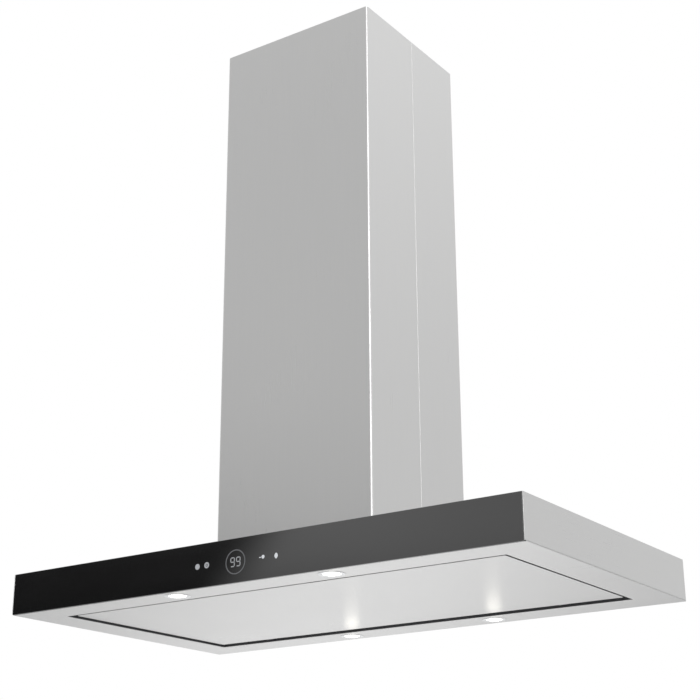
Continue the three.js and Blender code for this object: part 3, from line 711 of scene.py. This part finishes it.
def lamp(place):
    """A turned bezel with a rolled rim and a can above it, round a slightly domed lens. Both are
    profiles of (radius, height above the underside). The lens is thinner from its middle to its
    edge by the fourth power of the share of its radius."""
    low, high = corners(f"lamp_housing_{place}")
    reach, depth = UNDERSIDE - low[2], high[2] - UNDERSIDE
    throat = [(15.6 * MM, 4.5 * MM), (15.5 * MM, 0.4 * MM), (15.9 * MM, -0.35 * MM)]
    rim = [(16.9 * MM, -reach), (19.5 * MM, -reach), (21.6 * MM, -0.86 * reach),
           (22.6 * MM, -0.6 * reach), (BEZEL_R, -0.25 * MM), (BEZEL_R - 0.4 * MM, -0.1 * MM)]
    can = [(17 * MM, -0.1 * MM), (17 * MM, 14 * MM), (14.2 * MM, depth), (3 * MM, depth),
           (3 * MM, depth - 0.6 * MM), (13.6 * MM, depth - 1.2 * MM), (15.6 * MM, 12 * MM)]
    x, y = lamp_centre(place)[:2]
    bezel = turned("lamp_bezel", throat + rim + can, x, y, UNDERSIDE, "ring")
    piece(f"lamp_bezel_{place}", bezel, "aluminium", "hood", [f"lamp_housing_{place}"], None)
    dome = [(LENS_R * s, 0.2 * MM + DOME * s ** 4) for s in np.linspace(1, 0.02, 12)]
    lens = turned("lamp_glass", [(LENS_R, 3.6 * MM), *dome], x, y, UNDERSIDE)
    piece(f"lamp_glass_{place}", lens, "lamp_lens", "hood", [f"lamp_lens_{place}"], None)


def lamp_glow(place):
    """The light that a lamp gives: a small warm source just under its lens."""
    data = bpy.data.lights.new(f"lamp_glow_{place}", "POINT")
    data.energy = GLOW_WATTS
    data.color = GLOW_COLOUR
    data.shadow_soft_size = GLOW_R
    glow = bpy.data.objects.new(f"lamp_glow_{place}", data)
    bpy.context.scene.collection.objects.link(glow)
    x, y = lamp_centre(place)[:2]
    glow.location = (x, y, UNDERSIDE - GLOW_DROP)
    glow.visible_camera = False
    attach(glow, "hood")


for place in LAMPS:
    lamp(place)
    lamp_glow(place)


# ------------------------------------------------------------------ display
PRINT_T = 0.12 * MM  # how far a mark stands out of the glass
PRINT_ROOT = 0.02 * MM  # and how far it goes in
DISPLAY_Z = (corners("display_module")[0][2] + corners("display_module")[1][2]) / 2
DISPLAY_X = -8.6 * MM
DISPLAY_R = 20.8 * MM
DISPLAY_BAND = 1.9 * MM
DIGIT_H = 16.4 * MM
DIGIT_W = 9.4 * MM
DIGIT_GAP = 2.6 * MM
STROKE = 1.8 * MM
BAR_GAP = 0.25 * MM
MARKS_Z = DISPLAY_Z + 1.4 * MM
DOT_X, DOT_R = -81.5 * MM, 4.9 * MM
RING_X, RING_Z = -61.4 * MM, DISPLAY_Z + 1.8 * MM
RING_R, RING_HOLE_R, RING_CORE_R = 5.2 * MM, 2.4 * MM, 1.3 * MM
DASH_X, DASH_Z = 51.5 * MM, MARKS_Z - 0.4 * MM
DASH_SIZE = (3.4 * MM, 1.5 * MM)
DASH_DOT_X, DASH_DOT_R = 57.6 * MM, 3.1 * MM
DROP_X, DROP_R, DROP_WIDE = 84.4 * MM, 4.8 * MM, 0.72


def on_glass(outline, y):
    """An outline in (x, z), about the display's middle, moved to y."""
    return np.column_stack([outline[:, 0] + DISPLAY_X, np.full(len(outline), y), outline[:, 1]])


def printed(name, outlines, finish, hole=None):
    """Flat marks standing a hair proud of the glass. Each outline is in (x, z)."""
    out, root = GLASS_LOW[1] - PRINT_T, GLASS_LOW[1] + PRINT_ROOT
    points, faces = [], []
    for outline in outlines:
        loops = [on_glass(outline, out), on_glass(outline, root)]
        if hole is not None:
            loops += [on_glass(hole, root), on_glass(hole, out)]
        ends = "caps" if hole is None else "ring"
        faces += faces_between(len(loops), len(outline), ends, sum(len(p) for p in points))
        points.append(np.concatenate(loops))
    return piece(name, mesh_of(name, np.concatenate(points), faces), finish, "hood", (), None)


def disc(x, radius, steps=48, power=2.0, z=DISPLAY_Z, wide=1.0):
    """A round outline, or a diamond where the power is 1: |x|^power + |z|^power = radius^power,
    with x then widened or narrowed."""
    angle = np.arange(steps) * 2 * np.pi / steps
    c, s = np.cos(angle), np.sin(angle)
    length = radius * (np.abs(c) ** power + np.abs(s) ** power) ** (-1 / power)
    return np.column_stack([x + wide * length * c, z + length * s])


def segment(x, z, length, upright):
    """A six-sided bar with pointed ends, as in a segment display."""
    half, end = length / 2 - BAR_GAP, STROKE / 2
    lit = np.array([(-half, 0), (-half + end, -end), (half - end, -end), (half, 0),
                    (half - end, end), (-half + end, end)])
    return (lit[:, ::-1] if upright else lit) + (x, z)


def figure_nine(x):
    """All bars of a segment figure but the lower left one."""
    half_w, half_h = (DIGIT_W - STROKE) / 2, (DIGIT_H - STROKE) / 2
    level = [segment(x, DISPLAY_Z + z, 2 * half_w, False) for z in (-half_h, 0, half_h)]
    sides = [(-half_w, half_h / 2), (half_w, half_h / 2), (half_w, -half_h / 2)]
    upright = [segment(x + dx, DISPLAY_Z + dz, half_h, True) for dx, dz in sides]
    return level + upright


def bar(x, z, width, height):
    """A rectangle about its middle."""
    corner = np.array([(-1, -1), (1, -1), (1, 1), (-1, 1)]) * (width / 2, height / 2)
    return corner + (x, z)


def display():
    """A ring with two figures, two dots to the left, and a dash, a dot and a lozenge to the
    right."""
    printed("display_ring", [disc(0, DISPLAY_R, 96)], "display_ring",
            disc(0, DISPLAY_R - DISPLAY_BAND, 96))
    shift = (DIGIT_W + DIGIT_GAP) / 2
    printed("display_figures", figure_nine(-shift) + figure_nine(shift), "display_figures")
    printed("display_dot_left", [disc(DOT_X, DOT_R, z=MARKS_Z)], "display_dots")
    printed("display_dot_ring", [disc(RING_X, RING_R, z=RING_Z)], "display_dots",
            disc(RING_X, RING_HOLE_R, z=RING_Z))
    printed("display_dot_core", [disc(RING_X, RING_CORE_R, z=RING_Z)], "display_dots")
    dash = [bar(DASH_X, DASH_Z, *DASH_SIZE), disc(DASH_DOT_X, DASH_DOT_R, z=MARKS_Z)]
    printed("display_dash", dash, "display_icons")
    printed("display_drop", [disc(DROP_X, DROP_R, power=1.6, wide=DROP_WIDE)], "display_icons")


display()


# ------------------------------------------------------------------ filters
STRAND_X = 9.0 * MM
STRAND_Y = 5.2 * MM
GRID_X, GRID_Y = 132, 186
BAR_W = 12 * MM
BAR_EDGE = 1.4 * MM
CATCH_PLAY = 0.9 * MM
CATCH_T = 3.4 * MM
CATCH_PULL = 3 * MM


def strands(x, y):
    """Diamonds of strands: 1 on a strand's crown and 0 in the middle of an opening, from the
    nearer of two sets of slanted waves."""
    across, along = x / STRAND_X, y / STRAND_Y
    first = np.abs(np.sin(np.pi * (across + along)))
    second = np.abs(np.sin(np.pi * (across - along)))
    return 1 - np.minimum(first, second) ** 0.7


def filter_layers(node):
    """A slab whose two faces follow the strands, joined round its border."""
    low, high = corners(node)
    x, y = np.meshgrid(np.linspace(low[0], high[0], GRID_X), np.linspace(low[1], high[1], GRID_Y),
                       indexing="ij")
    height = strands(x, y)
    border = (x == low[0]) | (x == high[0]) | (y == low[1]) | (y == high[1])
    middle = (low[2] + high[2]) / 2
    depth = np.where(border, 0.6, 0.35 + 0.65 * height) * (high[2] - low[2]) / 2
    under = np.stack([x, y, middle - depth], -1).reshape(-1, 3)
    over = np.stack([x, y, middle + depth], -1).reshape(-1, 3)
    index = np.arange(GRID_X * GRID_Y).reshape(GRID_X, GRID_Y)
    quads = np.stack([index[:-1, :-1], index[1:, :-1], index[1:, 1:], index[:-1, 1:]], -1)
    quads = quads.reshape(-1, 4)
    rim = np.concatenate([index[:, 0], index[-1, 1:], index[-2::-1, -1], index[0, -2:0:-1]])
    top = index.size
    wall = np.stack([rim, np.roll(rim, -1), np.roll(rim, -1) + top, rim + top], -1)
    faces = quads[:, ::-1].tolist() + (quads + top).tolist() + wall.tolist()
    mesh = bpy.data.meshes.new(node)
    mesh.from_pydata(np.concatenate([under, over]).tolist(), [], faces)
    # the strands' height, which the filter's material also reads to paint shade into the openings
    tone = mesh.attributes.new("strand", "FLOAT", "POINT")
    tone.data.foreach_set("value", np.tile(height.reshape(-1), 2).astype(np.float32))
    return piece(node + "_layers", mesh, "filter_layers", "hood", [node], None)


def filter_frame(node):
    """A channel round the mesh: four rounded bars, with the pocket for the latch in the front one.
    Its section is a rounded rectangle carried round the filter's outline."""
    low, high = corners(node)
    near = [(BAR_EDGE * (1 - s), BAR_EDGE * (1 - c)) for s, c in quarter(3)]
    section = [(v, high[2] - u) for u, v in near]
    section += [(BAR_W - u, high[2] - v) for u, v in near]
    section += [(BAR_W - v, low[2] + u) for u, v in near]
    section += [(u, low[2] + v) for u, v in near]
    loops = [rounded_rectangle(low[0] + inset, high[0] - inset, low[1] + inset, high[1] - inset,
                               max(4 * MM - inset, 0.5 * MM), z) for inset, z in section]
    made = piece(node + "_bars", lofted(node, loops, "ring"), "aluminium", "hood", [node], None)
    latch_low, latch_high = corners(node.replace("frame", "latch"))
    pocket = [rounded_rectangle(latch_low[0] - CATCH_PLAY, latch_high[0] + CATCH_PLAY,
                                low[1] - CUTTER_REACH, low[1] + BAR_W - 0.2 * MM, 1.2 * MM, z)
              for z in (low[2] - CUTTER_REACH, low[2] + 4 * MM)]
    return punched(made, [lofted("pocket", pocket)])


def filter_latch(n):
    """The sliding catch: a flat slider with a rounded finger pull under its rear edge, as one
    outline in (y, z) pushed across."""
    node = f"filter_latch_{n}"
    low, high = corners(node)
    points = np.array([(low[1], high[2] - CATCH_T), (high[1] - CATCH_PULL, high[2] - CATCH_T),
                       (high[1] - CATCH_PULL, low[2]), (high[1], low[2]), (high[1], high[2]),
                       (low[1], high[2])])
    loops = [pushed_along_x(points, x) for x in (low[0], high[0])]
    return piece(node + "_catch", lofted(node, loops), "black_plastic", f"latch_{n}", [node],
                 0.6 * MM, 3)


for n in (1, 2, 3):
    filter_layers(f"filter_mesh_{n}")
    filter_frame(f"filter_frame_{n}")
    filter_latch(n)


# ------------------------------------------------------------------ what lies inside
def softened(node, finish, body):
    """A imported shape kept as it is, with its flat faces merged and its edges rounded off."""
    mesh = frame["nodes"][node].data.copy()
    shape = bmesh.new()
    shape.from_mesh(mesh)
    bmesh.ops.remove_doubles(shape, verts=shape.verts, dist=MERGE)
    bmesh.ops.dissolve_limit(shape, angle_limit=FLAT_ANGLE, verts=shape.verts, edges=shape.edges)
    shape.to_mesh(mesh)
    shape.free()
    mesh.materials.clear()
    return piece(node + "_finished", mesh, finish, body, [node])


def finish_inside():
    """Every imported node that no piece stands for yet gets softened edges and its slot's finish.
    The hinge in the rear slot is blackened, brackets and pins."""
    slots = {part["node"]: part["material_slot"] for part in frame["record"]["subparts"]}
    for node in slots:
        if node.startswith("hinge_"):
            slots[node] = "black_zinc"
    for node, packed in frame["nodes"].items():
        if not packed.hide_render:
            softened(node, slots[node], packed["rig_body"])


finish_inside()


# ------------------------------------------------------------------ studio
FLOOR_Z = -2.75
FLOOR_RINGS = (0.5, 4, 12, 30)
FLOOR_STEPS = 96

# The board lies just over the floor. Its glow depends on the distance from a slanting line.
BOARD = (-14, 4, 3, 18)
BOARD_LIFT = 0.02
BOARD_ACROSS = (0.625, 0.78, 0)
BOARD_MIDDLE = 2.1
BOARD_WIDTH = 1.0
BOARD_LOW, BOARD_HIGH = 0.40, 1.16
BOARD_END = (4.75, 5.35)

# The walls' brightness all round, and where it changes, as cosines from +Y and from straight up.
WORLD_BACK = 0.95
WORLD_FRONT = 0.645
WORLD_TOP = 1.4
FRONT_TO_BACK = (-0.75, 0.55)
WALL_TO_TOP = (0.45, 0.95)

# Round patches of the walls: azimuth, elevation, radius of the full part, radius where it ends
# (all in degrees), and the brightness that it adds.
PATCHES = (
    (-56, 20, 9, 17, 3.4),  # the bright panel at the front right
    (-146, 2, 12, 30, -0.19),  # shade behind at the right
    (144, 3, 8, 24, -0.15),  # shade behind at the left
    (20, 12, 5, 14, -0.10),  # shade in front
)

# The wall in front: shade low down, and a faint strip of light above it. Each step is between
# two elevations in degrees, from one value to the other.
FRONT_WALL = (32, 10, 35, 55, 1)
LOW_SHADE = (9.5, 12.5, -0.22, 0)
STRIP_FOOT = (11, 13.5, 0, 0.115)
STRIP_TOP = (18, 24, 1, 0)

# The dark flag at the front left: a round card, cut off along two straight edges. Each edge goes
# through two directions, and SOFT is how wide it fades.
FLAG = (46, 5, 11, 15, 1)
FLAG_DARK = 0.89
FLAG_END, FLAG_END_SOFT = ((37.7, 12.9), (39.0, 10.98)), (-0.018, 0.018)
FLAG_TOP, FLAG_TOP_SOFT = ((37.2, 13.9), (50, 11.4)), (-0.012, 0.018)
LEFT_OF_FLAG_END = (60, 12)


def stage_mesh(name, points, faces, material):
    """Puts a mesh in the scene as part of the studio and not of the hood."""
    mesh = bpy.data.meshes.new(name)
    mesh.from_pydata(points, [], faces)
    mesh.materials.append(material)
    staged = bpy.data.objects.new(name, mesh)
    bpy.context.scene.collection.objects.link(staged)
    return staged


def lay_floor():
    """A wide pale disc under the hood, lofted from rings that grow in radius."""
    material = bpy.data.materials.new("studio_floor")
    tree, shader = new_tree(material)
    clouds = noise(tree, place_pattern(tree, (1, 1, 1)), 1.2)
    tree.links.new(between(tree, spread(tree, clouds, 0, 1), (0.84,) * 3, (0.87,) * 3),
                   shader.inputs["Base Color"])
    shader.inputs["Roughness"].default_value = 0.8
    shader.inputs["Specular IOR Level"].default_value = 0.0
    rings = np.concatenate([circle(0, 0, radius, FLOOR_Z, FLOOR_STEPS) for radius in FLOOR_RINGS])
    index = np.arange(len(rings)).reshape(-1, FLOOR_STEPS)
    lower, upper = index[:-1], index[1:]
    quads = np.stack([lower, upper, np.roll(upper, -1, 1), np.roll(lower, -1, 1)], -1)
    faces = quads.reshape(-1, 4).tolist() + [index[0].tolist()]
    stage_mesh("studio_floor", rings.tolist(), faces, material)


def bounce_board():
    """A pale board on the floor behind the hood at the left, seen in reflections only. Its glow
    is a bell curve of the distance from a slanting line, and fades to nothing at the far end."""
    material = bpy.data.materials.new("bounce_board")
    tree, shader = new_tree(material)
    shader.inputs["Base Color"].default_value = (0, 0, 0, 1)
    shader.inputs["Emission Color"].default_value = (1, 1, 1, 1)
    line = tree.nodes.new("ShaderNodeVectorMath")
    line.operation = "DOT_PRODUCT"
    line.inputs[1].default_value = BOARD_ACROSS
    tree.links.new(place_pattern(tree, (1, 1, 1)), line.inputs[0])
    off = arithmetic(tree, "SUBTRACT", line.outputs["Value"], BOARD_MIDDLE)
    share = arithmetic(tree, "DIVIDE", off, BOARD_WIDTH)
    bell = arithmetic(tree, "POWER", math.e, product(tree, share, share, -1))
    glow = spread(tree, bell, BOARD_LOW, BOARD_HIGH, 0, 1)
    far_end = spread(tree, line.outputs["Value"], 1, 0, *BOARD_END)
    tree.links.new(product(tree, glow, far_end), shader.inputs["Emission Strength"])
    x0, x1, y0, y1 = BOARD
    z = FLOOR_Z + BOARD_LIFT
    points = [(x0, y0, z), (x1, y0, z), (x1, y1, z), (x0, y1, z)]
    board = stage_mesh("bounce_board", points, [(0, 1, 2, 3)], material)
    board.visible_camera = board.visible_diffuse = board.visible_shadow = False


def direction(azimuth, elevation):
    """The unit vector that way: azimuth is counted from -Y towards -X, both in degrees."""
    a, e = math.radians(azimuth), math.radians(elevation)
    return Vector((-math.sin(a) * math.cos(e), -math.cos(a) * math.cos(e), math.sin(e)))


def across_edge(edge, towards):
    """The normal of the plane through the edge's two directions, on the side given."""
    normal = direction(*edge[0]).cross(direction(*edge[1])).normalized()
    return normal if normal.dot(towards) > 0 else -normal


def light_world():
    """A soft white studio all round, brighter above and behind, with the patches, the front wall
    and the dark flag that the glass and the steel mirror. What lies straight behind the hood is
    plain white."""
    world = bpy.data.worlds.new("studio")
    bpy.context.scene.world = world
    world.use_nodes = True
    tree = world.node_tree
    tree.nodes.clear()
    coordinates = tree.nodes.new("ShaderNodeTexCoord")
    sky = Vector((0, 0, 1))

    def facing(axis, start, end, low, high):
        """A smooth step in the cosine between the view and the axis."""
        dot = tree.nodes.new("ShaderNodeVectorMath")
        dot.operation = "DOT_PRODUCT"
        dot.inputs[1].default_value = axis
        tree.links.new(coordinates.outputs["Generated"], dot.inputs[0])
        step = tree.nodes.new("ShaderNodeMapRange")
        step.interpolation_type = "SMOOTHSTEP"
        sockets = ("From Min", "From Max", "To Min", "To Max")
        for socket, value in zip(sockets, (start, end, low, high)):
            step.inputs[socket].default_value = value
        tree.links.new(dot.outputs["Value"], step.inputs["Value"])
        return step.outputs["Result"]

    def patch(azimuth, elevation, inner, outer, strength):
        """A soft round patch: full inside the inner angle, gone at the outer."""
        cosines = (math.cos(math.radians(outer)), math.cos(math.radians(inner)))
        return facing(direction(azimuth, elevation), *cosines, 0, strength)

    def level(start, end, low, high):
        """A smooth step between two elevations in degrees."""
        return facing(sky, math.sin(math.radians(start)), math.sin(math.radians(end)), low, high)

    bright = facing(Vector((0, 1, 0)), *FRONT_TO_BACK, WORLD_FRONT, WORLD_BACK)
    strip = product(tree, level(*STRIP_FOOT), level(*STRIP_TOP))
    wall = arithmetic(tree, "ADD", level(*LOW_SHADE), strip)
    parts = [facing(sky, *WALL_TO_TOP, 0, WORLD_TOP - WORLD_BACK)]
    parts += [patch(*place) for place in PATCHES]
    parts.append(product(tree, patch(*FRONT_WALL), wall))
    for part in parts:
        bright = arithmetic(tree, "ADD", bright, part)
    end = facing(across_edge(FLAG_END, direction(*LEFT_OF_FLAG_END)), *FLAG_END_SOFT, 0, 1)
    under = facing(across_edge(FLAG_TOP, sky), *FLAG_TOP_SOFT, 1, 0)
    dark = product(tree, end, under, patch(*FLAG), FLAG_DARK)
    bright = product(tree, bright, arithmetic(tree, "SUBTRACT", 1.0, dark))
    studio, plain = (tree.nodes.new("ShaderNodeBackground") for _ in range(2))
    for background in (studio, plain):
        background.inputs["Color"].default_value = (1, 1, 1, 1)
    tree.links.new(bright, studio.inputs["Strength"])
    plain.inputs["Strength"].default_value = 1.0
    ray = tree.nodes.new("ShaderNodeLightPath")
    choice = tree.nodes.new("ShaderNodeMixShader")
    output = tree.nodes.new("ShaderNodeOutputWorld")
    tree.links.new(ray.outputs["Is Camera Ray"], choice.inputs["Fac"])
    tree.links.new(studio.outputs["Background"], choice.inputs[1])
    tree.links.new(plain.outputs["Background"], choice.inputs[2])
    tree.links.new(choice.outputs["Shader"], output.inputs["Surface"])


lay_floor()
bounce_board()
light_world()
bpy.context.scene.view_settings.view_transform = "Standard"
